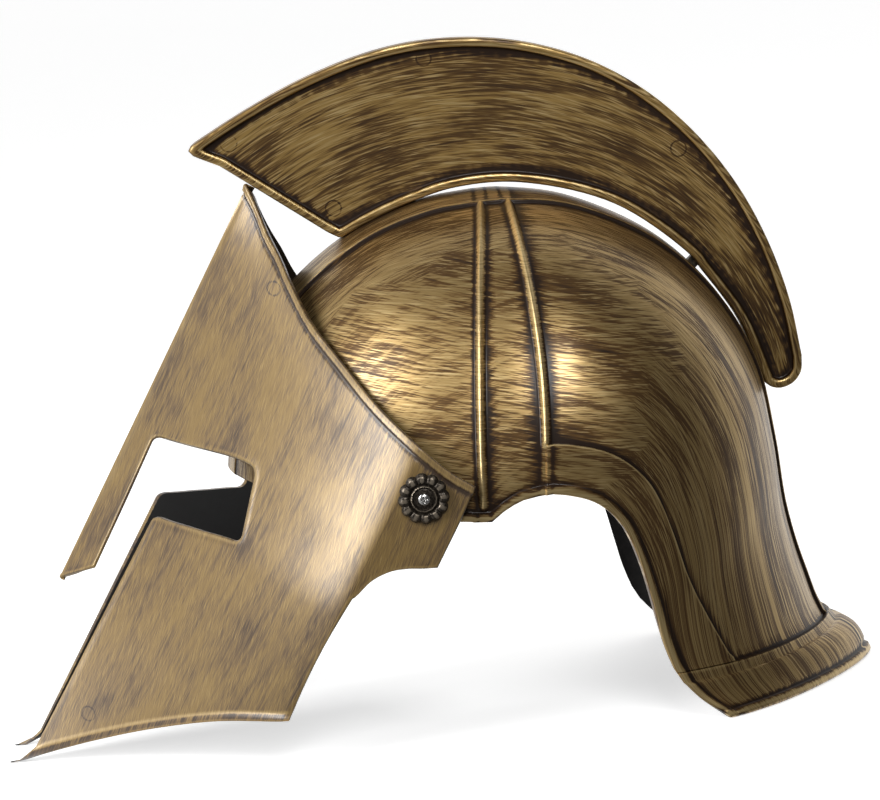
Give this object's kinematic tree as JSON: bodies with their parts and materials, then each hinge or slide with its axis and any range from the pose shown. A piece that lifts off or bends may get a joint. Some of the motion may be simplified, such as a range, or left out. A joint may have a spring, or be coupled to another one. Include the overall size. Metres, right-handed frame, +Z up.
{
  "type": "corinthian helmet",
  "caption": "Greek hoplite style dress helmet: a bowl with a neck guard and a plate crest, and a pointed face plate that pivots at the temples.",
  "frame": {"origin": "on the floor, under the middle of the helmet's box", "axes": "+Z up, -Y the way the wearer looks, +X the wearer's left"},
  "size_m": [0.2224, 0.387, 0.2929],
  "materials": {
    "antique_gold": "moulded plastic with brushed antique gold paint, dark brown patina and a clear gloss coat",
    "dark_pewter": "moulded plastic with blackened paint worn lighter on the raised edges",
    "steel": "plain bright steel screw",
    "black_plastic": "plain black plastic"
  },
  "bodies": {
    "bowl": {"skull": "antique_gold", "crest_left": "antique_gold", "crest_right": "antique_gold", "crest_peg_front": "black_plastic", "crest_peg_middle": "black_plastic", "crest_peg_rear": "black_plastic", "pivot_screw_left": "steel", "pivot_screw_right": "steel"},
    "face_plate": {"visor": "antique_gold", "rosette_left": "dark_pewter", "rosette_right": "dark_pewter"}
  },
  "joints": [
    {"name": "visor_pivot", "type": "hinge", "parent": "bowl", "child": "face_plate", "pos_m": [0, -0.0009, 0.1126], "axis": [1, 0, 0], "range_deg": [0, 25]}
  ]
}
